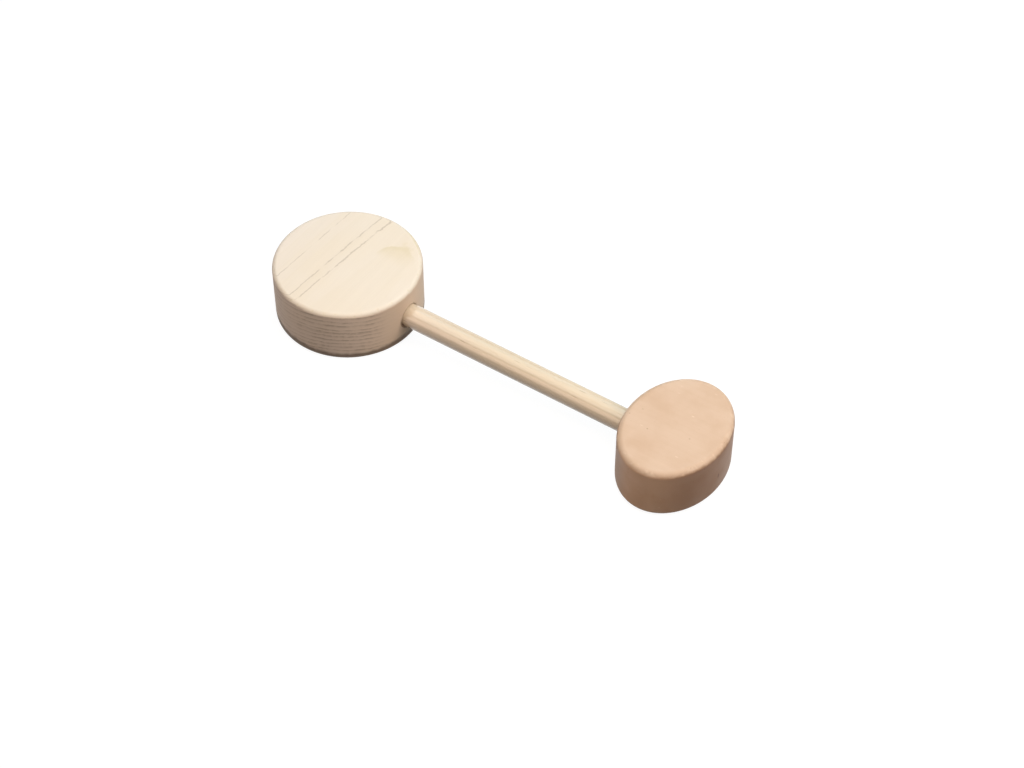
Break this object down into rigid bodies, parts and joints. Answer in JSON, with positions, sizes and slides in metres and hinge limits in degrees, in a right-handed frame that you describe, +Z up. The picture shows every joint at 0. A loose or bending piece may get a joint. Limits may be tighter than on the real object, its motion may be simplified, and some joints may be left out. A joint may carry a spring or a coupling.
{
  "type": "dumbbell rattle",
  "caption": "Wooden baby rattle shaped like a dumbbell: a round and an oval head on a dowel handle, each head hollow with loose beads inside and a lid let into its underside.",
  "frame": {"origin": "on the table under the middle of the rattle as it lies flat", "axes": "+X along the handle from the round head towards the oval head, +Y across the handle, +Z up through the thickness of the heads"},
  "size_m": [0.169, 0.05, 0.0205],
  "materials": {
    "round_head_wood": "sanded pale wood with close growth rings, satin",
    "oval_head_wood": "sanded pinkish close-grained hardwood, satin",
    "handle_wood": "smooth pale dowel, satin",
    "bead_wood": "tumbled hardwood ball"
  },
  "bodies": {
    "rattle": {"round_head": "round_head_wood", "round_head_lid": "round_head_wood", "handle_dowel": "handle_wood", "oval_head": "oval_head_wood", "oval_head_lid": "oval_head_wood"},
    "round_bead_1": {"round_bead_1": "bead_wood"},
    "round_bead_2": {"round_bead_2": "bead_wood"},
    "round_bead_3": {"round_bead_3": "bead_wood"},
    "round_bead_4": {"round_bead_4": "bead_wood"},
    "round_bead_5": {"round_bead_5": "bead_wood"},
    "oval_bead_1": {"oval_bead_1": "bead_wood"},
    "oval_bead_2": {"oval_bead_2": "bead_wood"},
    "oval_bead_3": {"oval_bead_3": "bead_wood"}
  },
  "joints": [
    {"name": "round_bead_1_roll", "type": "slide", "parent": "rattle", "child": "round_bead_1", "axis": [1, 0, 0], "range_m": [-0.01149, 0.00436]},
    {"name": "round_bead_2_roll", "type": "slide", "parent": "rattle", "child": "round_bead_2", "axis": [1, 0, 0], "range_m": [-0.00354, 0.0201]},
    {"name": "round_bead_3_roll", "type": "slide", "parent": "rattle", "child": "round_bead_3", "axis": [1, 0, 0], "range_m": [-0.01544, 0.01029]},
    {"name": "round_bead_4_roll", "type": "slide", "parent": "rattle", "child": "round_bead_4", "axis": [1, 0, 0], "range_m": [-0.00768, 0.01596]},
    {"name": "round_bead_5_roll", "type": "slide", "parent": "rattle", "child": "round_bead_5", "axis": [1, 0, 0], "range_m": [-0.01427, 0.00158]},
    {"name": "oval_bead_1_roll", "type": "slide", "parent": "rattle", "child": "oval_bead_1", "axis": [1, 0, 0], "range_m": [-0.00665, 0.00252]},
    {"name": "oval_bead_2_roll", "type": "slide", "parent": "rattle", "child": "oval_bead_2", "axis": [1, 0, 0], "range_m": [-0.00176, 0.00997]},
    {"name": "oval_bead_3_roll", "type": "slide", "parent": "rattle", "child": "oval_bead_3", "axis": [1, 0, 0], "range_m": [-0.0055, 0.00367]}
  ]
}
